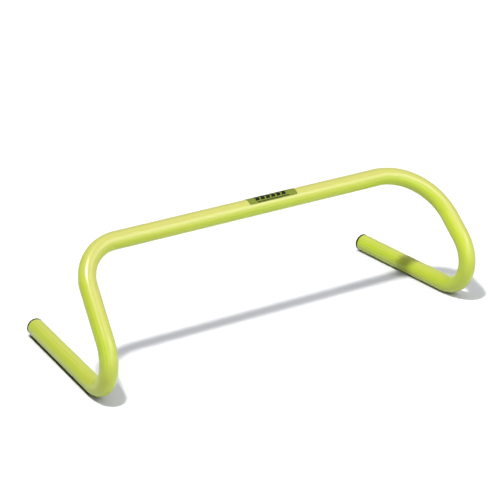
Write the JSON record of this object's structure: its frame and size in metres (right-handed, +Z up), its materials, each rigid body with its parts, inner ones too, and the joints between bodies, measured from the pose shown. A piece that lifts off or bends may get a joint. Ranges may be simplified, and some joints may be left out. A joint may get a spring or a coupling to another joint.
{
  "type": "agility hurdle",
  "caption": "Low free-standing training hurdle for a small dog: a bent plastic tube with crossbar, leaning legs and long floor feet, with plugged open ends.",
  "frame": {"origin": "on the floor, under the middle of the hurdle's footprint", "axes": "+X to the right along the crossbar, +Y from the lower bends towards the open foot ends, +Z up"},
  "size_m": [0.4907, 0.207, 0.1557],
  "materials": {
    "tube_plastic": "semi-gloss neon yellow-green plastic pipe, coloured right through",
    "plug_plastic": "satin black moulded polyethylene",
    "label_film": null
  },
  "bodies": {
    "root": {"hurdle_tube": "tube_plastic", "end_plug_left": "plug_plastic", "end_plug_right": "plug_plastic", "crossbar_label": "label_film"}
  },
  "joints": []
}
